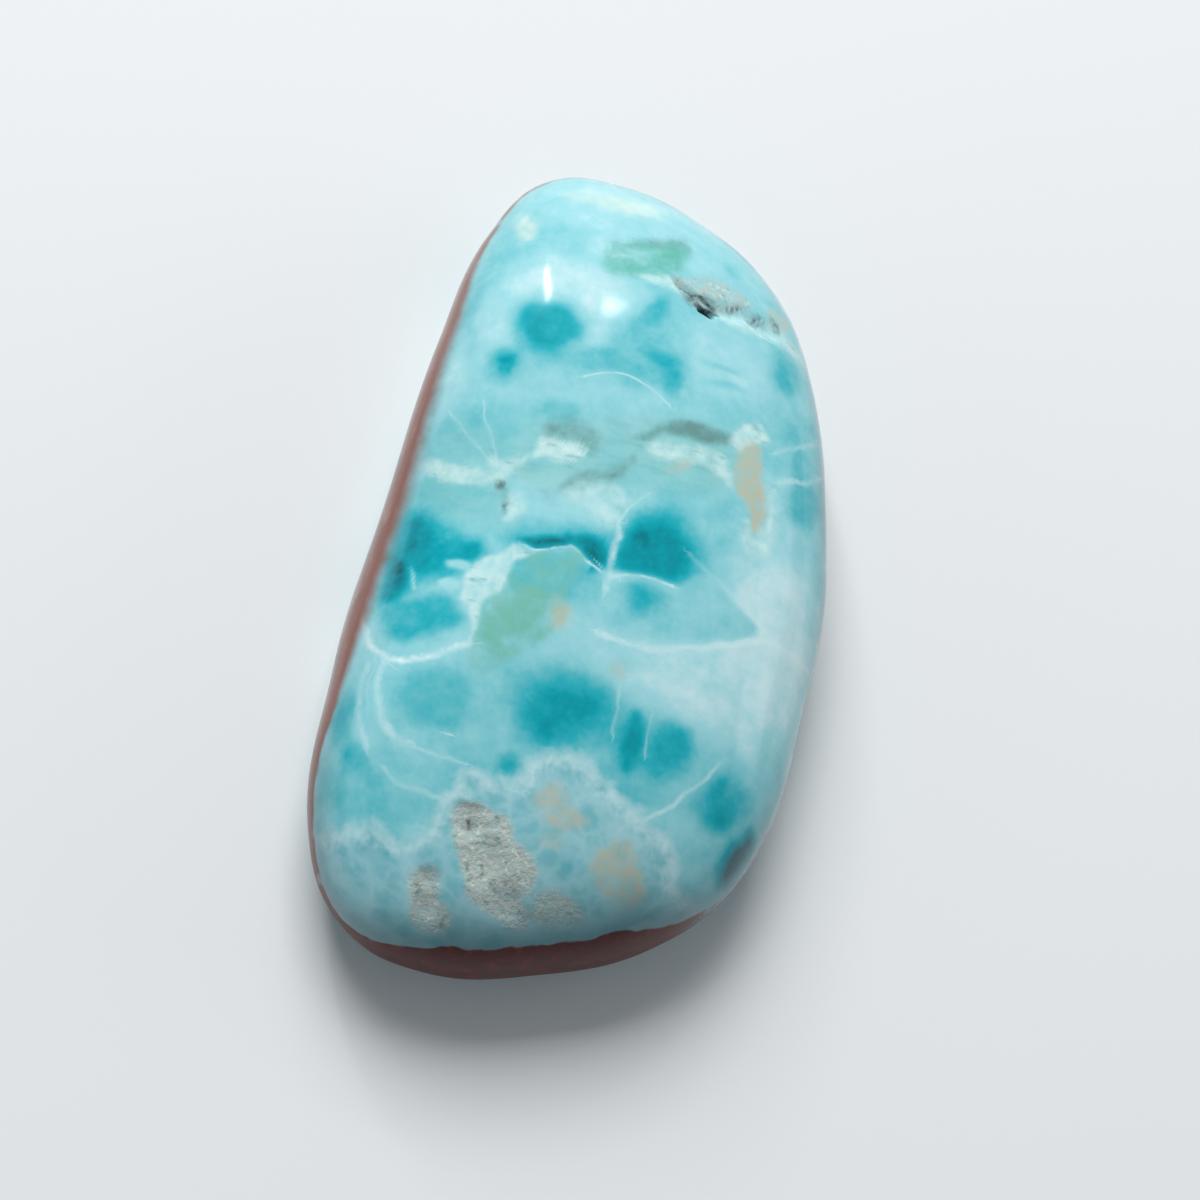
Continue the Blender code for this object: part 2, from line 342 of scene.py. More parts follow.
# Markings are read off the stone: places are plan millimetres. Blue runs from 0, milk white,
# to 1, the deepest teal. A wash is an ellipse: middle, radii, turn in degrees, blue, softness.
markings = {
    "ground": 0.34,
    "wander": ((2.2, 0.32), (0.8, 0.12)),  # size and reach of the waves in every drawn edge
    "washes": [
        ((-6, 31), (9.5, 5.5), 0, 0.20, 0.6),  # the bright narrow end
        ((2.5, 29), (4.5, 3.2), -30, 0.26, 0.6),
        ((-12, 25.6), (4.4, 2.8), 20, 0.36, 0.7),
        ((-5.6, 26.2), (3.4, 1.4), 5, 0.14, 0.7),
        ((4.4, 28.4), (1, 1), 0, 0.42, 0.8),
        # painted shade: deeper teal towards the west rim
        ((-15.4, 20.5), (1.8, 4.4), 0, 0.52, 0.7),
        ((-9, 20.6), (6.8, 4.6), 15, 0.14, 0.5),
        ((-14.4, 16.5), (1.5, 3.6), 10, 0.16, 0.6),
        ((-6, 17.3), (2, 3.2), 0, 0.22, 0.6),
        ((-1, 17.2), (4, 4.6), 10, 0.50, 0.5),
        ((0, 16.9), (2.4, 0.8), 5, 0.70, 0.7),
        ((1.1, 14.9), (0.9, 1.9), 0, 0.68, 0.7),
        ((-1.6, 21.2), (1, 2), -30, 0.64, 0.7),
        ((-5.4, 15), (2.8, 1.4), 10, 0.52, 0.6),
        ((5.8, 18.6), (4.4, 4.6), 0, 0.22, 0.5),  # cloud with two bars
        ((5, 17.9), (2.2, 0.4), 3, 0.40, 0.8),
        ((5.6, 16.2), (2.4, 0.45), 6, 0.38, 0.8),
        ((10.8, 19.9), (1.6, 2.3), 0, 0.56, 0.6),
        ((13.4, 13.5), (2.8, 5), -15, 0.48, 0.6),
        ((14.6, 9), (2, 2.8), 0, 0.62, 0.5),
        ((-13, 10.6), (3.8, 4.2), 0, 0.30, 0.6),
        ((-16.2, 11), (1, 5), 0, 0.18, 0.7),
        ((-7.2, 9.5), (2.4, 1.2), -5, 0.56, 0.6),
        ((1, 11.6), (6.5, 2.2), 12, 0.32, 0.6),
        ((-13.6, 6.4), (3.2, 2.8), 0, 0.44, 0.6),
        ((-14, 0.9), (3.8, 2.2), 0, 0.47, 0.6),
        ((-4.8, 2.4), (5.4, 2.4), 5, 0.26, 0.5),
        ((5.8, 5.2), (3.4, 1.7), 0, 0.42, 0.6),
        ((6, 0.6), (5.6, 3.6), -40, 0.42, 0.5),
        ((14, -4.6), (5.6, 9.6), 0, 0.08, 0.5),  # milk along the bulging side, partly a painted reflection
        ((9, -10.4), (6.2, 3.8), 0, 0.12, 0.6),
        ((-2.2, -4.8), (1.9, 2.3), 0, 0.46, 0.6),
        ((-0.4, -9.4), (4.8, 3), 0, 0.27, 0.6),
        ((-14.6, -3.8), (3.8, 3.2), 0, 0.58, 0.6),  # halos of the deep eyes
        ((-16.2, -15.4), (1.7, 3.2), 0, 0.42, 0.6),
        ((-11.4, -16.6), (3.8, 3), 0, 0.54, 0.5),
        ((-7, -15.2), (1.8, 3.8), 0, 0.36, 0.6),
        ((-10.4, -21.6), (4.6, 2.2), 0, 0.42, 0.6),
        ((-17.7, -18.5), (0.9, 2.8), 0, 0.74, 0.8),
        ((-16.1, -22.3), (1.9, 1), -50, 0.76, 0.7),
        ((-13.6, -24.8), (4.6, 2.4), 0, 0.50, 0.6),
        ((-1.2, -14.8), (5.4, 3.6), 0, 0.58, 0.5),
        ((6.6, -16.2), (4.2, 3.4), 0, 0.60, 0.5),
        ((5.4, -19.4), (3.8, 1.6), 0, 0.48, 0.6),
        ((12.8, -17.8), (3.2, 3.6), 0, 0.54, 0.5),
        ((12.4, -23.6), (3.8, 3.2), 0, 0.36, 0.6),
        ((-12.6, -29.2), (2.6, 1.8), 0, 0.75, 0.8),
        ((2.2, -26.7), (1.2, 1), 0, 0.60, 0.8),
    ],
    "eyes": [  # the deepest pools: blue, softness of the edge, outline
        (0.80, 2.8, [  # the northern eye and its small neighbour
            (-12.2, 18.6), (-10.2, 19.4), (-8, 19), (-7.2, 17.2), (-8, 15.6), (-9.6, 14.4), (-11.2, 15),
            (-12.4, 16.6),
        ]),
        (0.84, 1.4, [
            (-11.9, 18), (-10, 18.7), (-8.2, 18.2), (-7.8, 16.8), (-9, 15.6), (-10.8, 15.6),
        ]),
        (0.66, 1.8, [(-14, 14.2), (-11.9, 14.2), (-11.4, 12), (-13.6, 11.6)]),
        (0.88, 0.7, [(-13.3, 13.6), (-12.2, 13.6), (-12, 12.9), (-13, 12.9)]),
        (0.88, 0.7, [(-13.1, 12.6), (-12.1, 12.7), (-12, 12.1), (-13, 12)]),
        (0.80, 2.6, [  # the middle one
            (-0.2, 1), (1, 2.5), (2.6, 3), (4.6, 2.8), (6.2, 1.6), (6.7, 0.2), (6.2, -1.6), (5.2, -3.2),
            (3.2, -3.8), (1, -3.8), (-0.6, -3), (-0.6, -1),
        ]),
        (1.02, 2.0, [
            (0.2, 0.4), (1.4, 1.8), (3, 2.1), (4.8, 1.6), (5.6, 0.2), (5, -1.6), (3.6, -2.9), (1.2, -3.2),
            (0, -2.6),
        ]),
        (0.60, 1.8, [
            (-9.6, -2.2), (-5.6, -0.4), (-2.6, 0.2), (-0.6, -0.2), (-0.6, -3.2), (-3.6, -2), (-7, -3.2),
        ]),
        (1.14, 1.0, [
            (-8, -2.2), (-5.6, -1.2), (-3.6, -0.9), (-2.2, -0.4), (-0.8, -1), (-0.7, -2.8), (-1.9, -3.4),
            (-3.1, -2.6), (-3.8, -2.3), (-5.2, -2.9), (-6.6, -3.2),
        ]),
        (0.80, 2.0, [  # the western ones
            (-17.4, -1), (-15.2, -0.6), (-13.8, -2.6), (-12.2, -3), (-10.8, -3), (-10.8, -4.6),
            (-12.6, -6.4), (-15, -7.4), (-16.2, -9.2), (-17.6, -8.6), (-17.8, -4),
        ]),
        (1.02, 1.4, [
            (-16.6, -1.8), (-15.2, -1.6), (-14.4, -2.9), (-14.6, -4), (-15.6, -4.7), (-16.8, -4.4),
        ]),
        (0.94, 1.0, [(-15.8, -3.9), (-13.4, -3.9), (-12.9, -4.8), (-13.9, -6), (-15.4, -6)]),
        (0.92, 0.9, [(-12.2, -3.3), (-11, -3.2), (-10.9, -4.2), (-11.7, -4.9), (-12.4, -4.4)]),
        (1.12, 1.0, [(-17.3, -5), (-16, -5.2), (-15.7, -7.4), (-16.2, -8.6), (-17.3, -8.3)]),
        (0.74, 3.0, [  # the southern row
            (-4.2, -13.6), (-1.9, -12.6), (0.6, -12.8), (2.6, -13.8), (2.8, -15.4), (1.2, -16.6),
            (-0.6, -17.4), (-2.2, -18.3), (-3.4, -18.2), (-4.4, -16.2),
        ]),
        (0.92, 1.8, [
            (-3.2, -14.4), (-1.9, -13.8), (0, -13.9), (1.6, -14.4), (1.6, -15.1), (0.6, -15.8),
            (-0.8, -16.5), (-2, -17.3), (-2.8, -17.4), (-3.4, -16.1),
        ]),
        (0.88, 1.2, [
            (4.2, -13.4), (5, -14), (5.7, -15.3), (5.5, -17.1), (5.1, -18.4), (4.4, -18), (3.9, -15.9),
            (3.9, -14.4),
        ]),
        (0.86, 2.2, [(6.4, -15.2), (7.3, -13.8), (8.8, -14), (9.5, -15.6), (8.5, -17.3), (6.8, -17.2)]),
        (0.82, 1.8, [
            (11.6, -17.4), (12.6, -16.6), (14.8, -16.4), (14.5, -18.2), (13.8, -19.9), (12.4, -20),
            (11.7, -18.7),
        ]),
        (0.70, 1.3, [(-5.1, -19.8), (-4, -19.6), (-3.3, -20.3), (-4.2, -20.9), (-5, -20.7)]),
        (1.15, 1.8, [(16.2, -19.2), (17.2, -20), (16, -23.2), (14.8, -23.8), (14.7, -22.2)]),
    ],
    "shelves": [  # crisp fields that cut across the eyes: blue, softness, outline
        (0.52, 0.35, [
            (-8, -2.6), (-6.4, -2.7), (-5, -2.3), (-3.75, -1.8), (-2.8, -2.4), (-1.9, -2.9), (-2.6, -5),
            (-4, -6.4), (-7.6, -6.4),
        ]),
        (0.35, 0.9, [
            (-0.3, -3.2), (1.1, -2.9), (2.2, -2.7), (4, -2.6), (5.6, -2.4), (7, -0.9), (9.4, -1.6),
            (12.8, -3.6), (10.2, -5.5), (6, -7.2), (2, -7.4), (0, -6.8),
        ]),
        (0.62, 1.8, [(1.4, -3.4), (4.2, -3.2), (4.6, -4.6), (2.8, -5.8), (1.2, -5)]),
        (0.70, 1.0, [(1.9, -3.9), (3.2, -3.8), (3.4, -4.8), (2.6, -5.2), (1.9, -4.8)]),
        (0.68, 1.2, [
            (-17.2, -9.6), (-14.4, -8.4), (-12.8, -8.1), (-11.1, -9), (-11, -10.2), (-12.8, -11.2),
            (-14.4, -12.3), (-16, -12),
        ]),
    ],
    "flecks": [  # white slivers in the western eyes
        (0.20, 0.4, [(-15.6, -5.7), (-15.4, -6), (-14.9, -7.5), (-15.2, -7.4)]),
        (0.25, 0.6, [(-12.9, -5), (-11.6, -4.8), (-11, -5.6), (-12.6, -5.7)]),
        (0.20, 0.6, [(-13.3, -6.9), (-12.4, -6.5), (-11.6, -7), (-12.4, -7.7), (-13.1, -7.5)]),
    ],
}

# Seams of white pectolite: half width and strength, then the path
veins = [
    (0.08, 0.42, [
        (-6.1, 13), (-5, 13.55), (-3.6, 14.25), (-2.2, 14.4), (-1.1, 13.9), (0, 13.3), (1.4, 12.6),
    ]),
    (0.11, 0.72, [
        (-7.5, -2.6), (-6.4, -2.7), (-5, -2.25), (-3.75, -1.8), (-2.8, -2.4), (-1.9, -2.8), (-0.8, -3.25),
        (0, -3.35), (1.1, -3), (2.2, -2.75), (4, -2.7), (5, -2.65),
    ]),
    (0.26, 0.50, [(-0.3, 0.6), (-0.35, -1.5), (-0.3, -3.3), (-0.2, -4.6)]),
    (0.11, 0.51, [(-0.8, 0.4), (-0.1, 2.2), (1.2, 4.4)]),
    (0.25, 0.82, [
        (-18.2, -10.6), (-17.5, -12.1), (-16.4, -13.4), (-15, -13.9), (-13.6, -13.6), (-11.9, -12.9),
        (-10.6, -12.2), (-9.6, -11.8),
    ]),
    (0.26, 0.62, [
        (0, -8.2), (3.9, -8.3), (6.1, -7.8), (8.1, -7.1), (10, -6.1), (11.9, -5), (14.2, -4), (16.2, -4.1),
        (18.4, -4.4),
    ]),
    (0.28, 0.47, [
        (-15.9, -14), (-15.8, -16.2), (-15.3, -17.9), (-14.4, -19.6), (-13.3, -20.4), (-12.5, -20.5),
    ]),
    (0.22, 0.38, [(-16.9, -14.5), (-17.2, -17), (-16.6, -19.2), (-15.6, -21.3)]),
    (0.12, 0.30, [(-13, -20.8), (-10.5, -20.9), (-7.5, -21.1)]),
    (0.18, 0.30, [(-13.8, -22.6), (-12.2, -23.6), (-10, -23.8), (-8.9, -23.9)]),
    (0.18, 0.42, [(12.2, -15.4), (11.2, -16.9), (10, -18.4), (8.9, -19.9), (7.6, -21.2), (5.6, -22.8)]),
    (0.22, 0.42, [(11.1, 12.2), (13.3, 13.8), (14.7, 15.2), (15, 15.8)]),
    (0.22, 0.45, [(11.9, 9.6), (13.3, 10.4), (14.2, 10.8), (15.8, 12.4), (16.4, 14.4)]),
    (0.08, 0.51, [(-9.9, -19.35), (-9.3, -19.25)]),
    (0.10, 0.34, [(-15.8, 8.4), (-14.4, 6.8), (-12.8, 5.1), (-11.4, 3.7)]),
    (0.10, 0.34, [(-13.6, 9.3), (-12.8, 7.3), (-11.7, 5.4), (-11.1, 3.7)]),
    (0.20, 0.20, [(5.6, 0.4), (9.5, -1.4), (13.8, -3.5), (17.4, -4.8), (18.9, -6.6)]),
    (0.13, 0.26, [(2.8, -12), (3, -14.5), (3, -15.7)]),
    (0.11, 0.30, [(5.6, -13.5), (5.9, -16.5)]),
]

# Other minerals, each laid over the ones before it: strength, softness of the edge, outline
minerals = {
    "silk": [  # grey-green silky fibres round the fractures
        (0.55, 3.0, [
            (-10.5, 4), (-8.5, 8.5), (-3, 10), (3, 12), (8, 12), (8, 7), (1, 5), (-6, 2),
        ]),
        (0.35, 2.5, [(-16.5, 1), (-15, 7), (-11, 6), (-9, -1), (-14, -1)]),
    ],
    "shade": [
        (0.90, 0.9, [
            (-0.6, 9.3), (0.6, 10.4), (1.9, 11.4), (3.6, 12.1), (5.6, 12.2), (7.4, 11.8), (6.7, 10.9),
            (5, 10.4), (3.6, 10.5), (2.2, 10.3), (0.8, 9.6), (0, 9.1),
        ]),
        (0.60, 1.2, [
            (-8, 8.2), (-6.5, 9.1), (-4.6, 8.9), (-3.3, 7.8), (-3.9, 6.9), (-5.2, 7.2), (-6.7, 7.3),
            (-7.9, 7),
        ]),
        (0.65, 1.0, [
            (-5.8, 3), (-4.4, 4.6), (-2.2, 5.4), (-0.4, 7.4), (-1.4, 5.2), (-3.3, 4), (-4.7, 3.2),
        ]),
        # painted shadow under the white crust lumps
        (0.45, 0.6, [(-11, 2.6), (-10.2, 2.4), (-9.4, 0.6), (-10, 0.4), (-10.3, 1.6)]),
        (0.60, 0.9, [(-6.3, 26.8), (-4, 28), (-2.4, 28.6), (-0.4, 29.8), (0.2, 28.4), (-3.6, 27.2)]),
    ],
    "mint": [
        (0.55, 1.0, [
            (-6.4, 26.9), (-6.7, 24.1), (-4.4, 23.7), (-1.9, 24.5), (-0.1, 26.1), (0.6, 28.2), (-0.2, 29.4),
            (-1.5, 29.1), (-2.2, 28.2), (-3.9, 27.9), (-5.6, 27.3),
        ]),
        (0.95, 1.2, [(-2.6, 25.4), (-0.4, 26), (0.2, 27.6), (-0.6, 28.4), (-2.2, 27.6), (-3, 26.4)]),
        (0.80, 0.9, [(-6.4, 25.4), (-6.2, 24), (-4.2, 23.9), (-3.2, 25.2), (-4.6, 25.9)]),
    ],
    "sage": [
        (0.50, 0.8, [
            (-6.9, -3.2), (-4.4, -2.7), (-3.75, -2), (-2.3, -2.9), (-3.3, -5.4), (-2.8, -7.3), (-3.1, -8.2),
            (-4.4, -10.1), (-6.1, -12.1), (-6.9, -12.9), (-8.1, -14), (-8.9, -13.7), (-9.7, -12.1),
            (-9.4, -8.4), (-8.9, -7.3), (-7.8, -4.4),
        ]),
        (0.90, 1.6, [
            (-6.6, -5.6), (-4.6, -6), (-4.8, -8.6), (-6.2, -10.6), (-8, -12), (-9.2, -10.6), (-9, -8.4),
            (-8, -7),
        ]),
    ],
    "tan": [
        (0.85, 1.0, [
            (7.8, 10.4), (8.3, 11.8), (9.2, 12.2), (9.9, 11), (10.4, 9.3), (11, 7.9), (11.4, 6.2),
            (11.2, 4.4), (10.6, 4.2), (10, 5.7), (9, 6.8), (8.3, 8.2),
        ]),
        (0.55, 1.2, [(-4.2, -6.3), (-2.7, -6.6), (-2.6, -8.4), (-3.8, -8.6)]),
        (0.40, 0.8, [(2.2, 6.7), (3.4, 6.9), (4.4, 8.4), (3.6, 8.6), (2.6, 7.6)]),
        (0.60, 1.0, [  # smooth patches of matrix
            (-1.1, -21.3), (-0.3, -20.6), (0.6, -21.6), (1.9, -22.4), (2.5, -23.2), (1.1, -24.1), (0, -23.8),
            (-1.1, -22.9), (-1.7, -22.1),
        ]),
        (0.45, 0.8, [(-0.4, -25.2), (0.4, -24.5), (1.4, -25), (0.8, -25.6), (0, -25.6)]),
        (0.65, 1.0, [
            (4.2, -25.2), (5.3, -23.8), (6.7, -23.6), (7.5, -24.6), (8.6, -25.7), (8.9, -27.1), (7.8, -27.9),
            (6.1, -27.9), (4.4, -26.8),
        ]),
        (0.55, 0.8, [(7.9, 25.6), (8.4, 24.4), (10, 24), (10.1, 25.8), (9, 26.2)]),
        (0.55, 1.0, [(1.7, -10.2), (2.5, -10.1), (2.7, -10.9), (2, -11.1)]),
    ],
    "matrix": [  # rough matrix that the polish didn't reach
        (0.95, 0.6, [
            (-7.8, -25.2), (-6.7, -23.8), (-5, -24.1), (-3.3, -24.3), (-2.2, -25.7), (-0.8, -26.6),
            (0, -27.7), (0, -29.1), (-0.6, -29.9), (0.6, -31), (0, -32.1), (-1.7, -31.8), (-3.3, -31.4),
            (-4.7, -30.7), (-5.6, -29.6), (-6.4, -27.9), (-6.9, -26.8),
        ]),
        (0.85, 0.6, [
            (-9.7, -31), (-9.4, -29.9), (-8.1, -29.3), (-7.2, -30.4), (-6.7, -31.6), (-5.6, -32.4),
            (-5.6, -33.5), (-7.5, -33.8), (-8.6, -33.2), (-8.9, -31.8),
        ]),
        (0.80, 0.9, [
            (0.6, -29.1), (2.2, -28.6), (3.9, -29.1), (4.7, -29.9), (3.3, -30.7), (1.9, -31.3), (0.6, -31),
        ]),
        (0.60, 0.9, [
            (-0.8, 24.9), (0.6, 25.6), (2.2, 26.2), (3.9, 26.3), (5.8, 25.9), (6.4, 25.1), (5, 24),
            (3.9, 23.6), (3.1, 23.2), (2.2, 22.8), (1.1, 23.1), (0.2, 24),
        ]),
    ],
    "crust": [  # white crumbs
        (0.62, 0.6, [
            (-11.4, -7.1), (-11.1, -5.4), (-10, -4.1), (-8.9, -3.2), (-8.1, -2.4), (-7.5, -2.9),
            (-6.7, -2.9), (-7.8, -4.1), (-8.1, -5.4), (-8.4, -7), (-9.4, -8), (-9.7, -11.8), (-10.3, -9),
            (-10.8, -8.4), (-11.4, -7.9),
        ]),
        (0.85, 0.7, [
            (-8.8, 5.2), (-8.6, 6.6), (-7.5, 7), (-5.5, 7), (-4.6, 6.4), (-5.2, 5.6), (-6.7, 5.3),
            (-7.8, 5.6),
        ]),
        (0.42, 1.2, [
            (-5.4, 2.6), (-3.6, 3.9), (-1.5, 4.2), (0, 3.9), (-0.3, 2.2), (-0.8, 0.7), (-2, 0.6),
            (-3.2, 1.6), (-4.6, 1.9),
        ]),
        (0.60, 1.0, [
            (0.3, 8.6), (2.5, 9.6), (4.5, 9.9), (6.3, 9.9), (7.6, 8.9), (8, 7.3), (6.8, 8), (5.5, 8.6),
            (4, 8.3), (2.5, 7.9), (1.2, 7.7),
        ]),
        (0.55, 0.9, [(-11.9, 4.6), (-10.9, 2.2), (-9.8, 3.4), (-9, 5.2), (-9.6, 5), (-10.6, 4.2)]),
        (0.50, 1.2, [(-9.6, 1.4), (-8.4, 1.6), (-8.2, 0), (-9.6, -0.6)]),
        (0.60, 0.7, [
            (-16.9, 4), (-15, 3.7), (-12.8, 3.4), (-11.1, 2.9), (-11.7, 2.2), (-13.3, 2), (-15, 2.1),
            (-16.4, 2.9),
        ]),
        (0.70, 0.9, [(7, 11), (7.8, 13), (9.4, 13.8), (10.2, 12.6), (9, 12), (8, 10.8)]),
        (0.55, 1.2, [
            (10, 5), (9.8, 3), (11, 2.2), (12.2, 3), (12.3, 6), (11.6, 8.8), (11.4, 5), (10.8, 3.6),
        ]),
        (0.65, 0.8, [(-4, 24.1), (-1.8, 25), (-0.4, 24.6), (0.2, 23.8), (-1.4, 23.8)]),
        # white crumbs along the fissure's lower lip, partly a painted highlight where the lip catches the
        # light
        (0.60, 1.0, [(3.4, 23.2), (6.2, 24.2), (10.6, 24), (13, 22.4), (9, 22.6), (5, 22.4)]),
    ],
    "cream": [
        (0.60, 1.8, [(-11, 31.4), (-6, 33), (-2.4, 32), (-6, 30.8)]),
        (0.60, 1.2, [(-14.6, 28.2), (-13.2, 28), (-12.8, 26.4), (-14, 25.4)]),
    ],
    "dark": [
        # painted shade: the fissure's crack, and in the two entries after it its hole and the dark round the
        # hole
        (0.80, 0.35, [
            (-0.6, 24.8), (1.1, 24.3), (2.2, 24.15), (3.6, 23.8), (3.4, 23.5), (2.1, 23.85), (1, 24.05),
        ]),
        (1.0, 0.5, [(2.1, 23.2), (2.7, 23.5), (3.7, 23.5), (3.4, 22.9), (2.6, 22.7)]),
        (0.55, 0.7, [(0.4, 24.1), (1.9, 23.9), (2, 22.9), (1, 23.1)]),
        (0.50, 0.35, [(4.4, 24.1), (5.8, 25), (6, 24.7), (4.8, 23.8)]),
        (0.60, 0.4, [(6.9, 24.4), (7.9, 24.4), (7.7, 24), (7, 23.9)]),
        (0.55, 0.4, [(8.6, 24.9), (9.5, 24.3), (9.3, 24), (8.5, 24.5)]),
        # painted shadow under the white crust lumps
        (0.60, 0.5, [(-10.9, 2.4), (-10.3, 2.5), (-10.2, 2), (-10.7, 1.9)]),
        (0.60, 0.6, [(-6.5, -25.2), (-5.8, -25.2), (-5.8, -25.8), (-6.4, -25.8)]),
        # painted shadow under the white crust lumps
        (0.40, 0.6, [(-10, 0.9), (-9.7, 0.9), (-9.6, -0.2), (-9.9, -0.1)]),
        (0.35, 2.0, [(15.2, -22.9), (16.2, -20.6), (17, -20), (16.4, -22.2), (15.6, -23.2)]),
    ],
    "cloud": [  # crust of small pale cells at the broad end
        (1.0, 1.0, [
            (-16.4, -27.9), (-14.4, -27.4), (-13.1, -27.1), (-11.9, -27.4), (-10.6, -27.7), (-9.4, -26.6),
            (-9.2, -25.2), (-8.9, -24.1), (-8.1, -23.2), (-8.1, -21.8), (-6.7, -21.3), (-5, -21.3),
            (-3.6, -21.3), (-3.1, -19.9), (-1.9, -18.8), (0, -18.2), (1.9, -18.5), (3.1, -19.6), (5, -20.2),
            (6.7, -20.7), (7.8, -21.8), (9.4, -22.4), (10.8, -23.5), (11.4, -25.2), (16, -28), (10, -38),
            (-14, -38), (-20, -30),
        ]),
    ],
}

# Red-brown band round the girdle, a painted reflection and shadow of reddish surroundings, at compass angles
# from the summit, anticlockwise from +X: height of its upper edge and its thickness in millimetres, softness
# of that edge, how light the band is, and how strong the painted shade on the stone above it is
girdleBand = [
    (-180, 11.9, 7.0, 1.9, 0.8, 0.1),
    (-157, 12.1, 7.2, 1.9, 0.8, 0.1),
    (-139, 11.1, 6.6, 0.7, 0.7, 0.3),
    (-125, 8.6, 4.2, 0.4, 0.4, 0.6),
    (-113, 7.4, 3.2, 0.25, 0.1, 0.8),
    (-107, 9.1, 4.6, 0.15, 0.0, 0.8),
    (-98, 11.0, 6.6, 0.15, 0.0, 0.8),
    (-84, 11.3, 6.8, 0.15, 0.0, 0.8),
    (-72, 11.5, 6.8, 0.15, 0.0, 0.8),
    (-65, 10.3, 5.2, 0.2, 0.1, 0.8),
    (-55, 9.2, 3.2, 0.5, 0.5, 0.7),
    (-40, 9.2, 2.2, 0.9, 0.9, 0.6),
    (-15, 9.4, 1.8, 1.2, 1.0, 0.2),
    (15, 9.6, 2.0, 1.2, 1.0, 0.5),
    (40, 9.8, 2.4, 1.2, 1.0, 0.6),
    (70, 9.8, 2.0, 1.0, 1.0, 0.2),
    (95, 9.6, 1.8, 0.8, 1.0, 0.1),
    (116, 9.8, 3.0, 0.8, 0.9, 0.1),
    (129, 11.5, 6.0, 1.9, 0.8, 0.1),
    (143, 12.1, 7.0, 1.9, 0.8, 0.1),
    (180, 11.9, 7.0, 1.9, 0.8, 0.1),
]

# Hollows that the polish didn't reach: plan place, length, width, depth, turn of the length in degrees
hollows = [
    ((0.5, 24.2), 3.4, 1.3, 0.45, -28),  # along the fissure
    ((2.7, 22.8), 1.7, 1.0, 1.5, -20),
    ((3.9, 23.5), 4.6, 1.6, 0.6, -6),
    ((7.8, 23.6), 4.8, 1.5, 0.6, -12),
    ((-6.0, -25.6), 4.2, 3.0, 0.4, -40),  # in the matrix
    ((-4.3, -27.9), 4.6, 4.0, 0.45, -50),
    ((-1.9, -30.2), 4.0, 3.0, 0.4, -45),
    ((-8.2, -30.4), 2.6, 2.0, 0.35, -60),
    ((-7.5, -32.1), 2.4, 2.2, 0.35, -30),
]


def roundedPath(points, closed, steps=4):
    # the same route with its corners rounded, by a Catmull-Rom curve through the points
    corners = np.array(points, float)
    count = len(corners)
    route = []
    for index in range(count if closed else count - 1):
        near = [index - 1, index, index + 1, index + 2]
        near = [place % count if closed else min(max(place, 0), count - 1) for place in near]
        before, start, end, after = corners[near]
        for step in range(steps):
            t = step / steps
            bend = (2 * before - 5 * start + 4 * end - after) * t**2
            bend += (3 * start - before - 3 * end + after) * t**3
            route.append(start + (end - before) * t / 2 + bend / 2)
    if not closed:
        route.append(corners[-1])
    return np.array(route)


def distanceTo(plan, points, closed=True, reach=4.0):
    # millimetres from each plan place to a route; below zero inside a closed one, and on the left
    # of an open one. Places further off than reach get reach.
    route = roundedPath(points, closed)
    away = np.full(len(plan), reach)
    box = np.all((plan > route.min(0) - reach) & (plan < route.max(0) + reach), axis=1)
    near = plan[box]
    best = np.full(len(near), np.inf)
    side = np.ones(len(near))
    ends = np.roll(route, -1, axis=0) if closed else route[1:]
    for start, end in zip(route, ends):
        run = end - start
        offset = near - start
        share = np.clip(offset @ run / (run @ run), 0, 1)
        gap = np.linalg.norm(offset - share[:, None] * run, axis=1)
        if closed:
            crossed = (start[1] > near[:, 1]) != (end[1] > near[:, 1])
            rise = end[1] - start[1]
            meet = start[0] + (near[:, 1] - start[1]) / (rise if rise else 1) * run[0]
            side[crossed & (near[:, 0] < meet)] *= -1
        else:
            turned = np.where(run[0] * offset[:, 1] - run[1] * offset[:, 0] > 0, -1.0, 1.0)
            side = np.where(gap < best, turned, side)
        best = np.minimum(best, gap)
    away[box] = np.clip(best, 0, reach) * side
    return away


def soften(value, start, end):
    share = np.clip((value - start) / (end - start), 0, 1)
    return share * share * (3 - 2 * share)


def ovalDistance(plan, middle, radii, turn):
    # 0 in the middle of an ellipse and 1 on its edge
    angle = math.radians(turn)
    offset = plan - np.array(middle)
    along = (offset[:, 0] * math.cos(angle) + offset[:, 1] * math.sin(angle)) / radii[0]
    athwart = (offset[:, 1] * math.cos(angle) - offset[:, 0] * math.sin(angle)) / radii[1]
    return np.hypot(along, athwart)


def wandering(plan, waves):
    # plan places moved a little, so that no drawn edge is smooth
    noise.seed_set(4)  # without it, each run would draw other edges
    moved = plan.copy()
    for size, reach in waves:
        shift = [noise.noise_vector((x / size, y / size, size)) for x, y in plan]
        moved += np.array(shift)[:, :2] * reach
    return moved


def overlaid(field, share, value):
    return field + (value - field) * share


def outlined(plan, softness, points):
    return 1 - soften(distanceTo(plan, points), -softness / 2, softness / 2)


def paintedBlue(plan):
    blue = np.full(len(plan), markings["ground"])
    for middle, radii, turn, value, softness in markings["washes"]:
        share = 1 - soften(ovalDistance(plan, middle, radii, turn), 1 - softness, 1 + softness / 2)
        blue = overlaid(blue, share, value)
    for shapes in ("eyes", "shelves", "flecks"):
        for value, softness, points in markings[shapes]:
            blue = overlaid(blue, outlined(plan, softness, points), value)
    for halfWidth, power, points in veins:  # the milk that each seam stands in
        glow = np.exp(-((distanceTo(plan, points, closed=False) / (halfWidth * 4)) ** 2))
        blue = overlaid(blue, glow * power * 0.4, 0.05)
    return blue


def paintedMineral(plan, patches):
    field = np.zeros(len(plan))
    for strength, softness, points in patches:
        field = np.maximum(field, outlined(plan, softness, points) * strength)
    return field


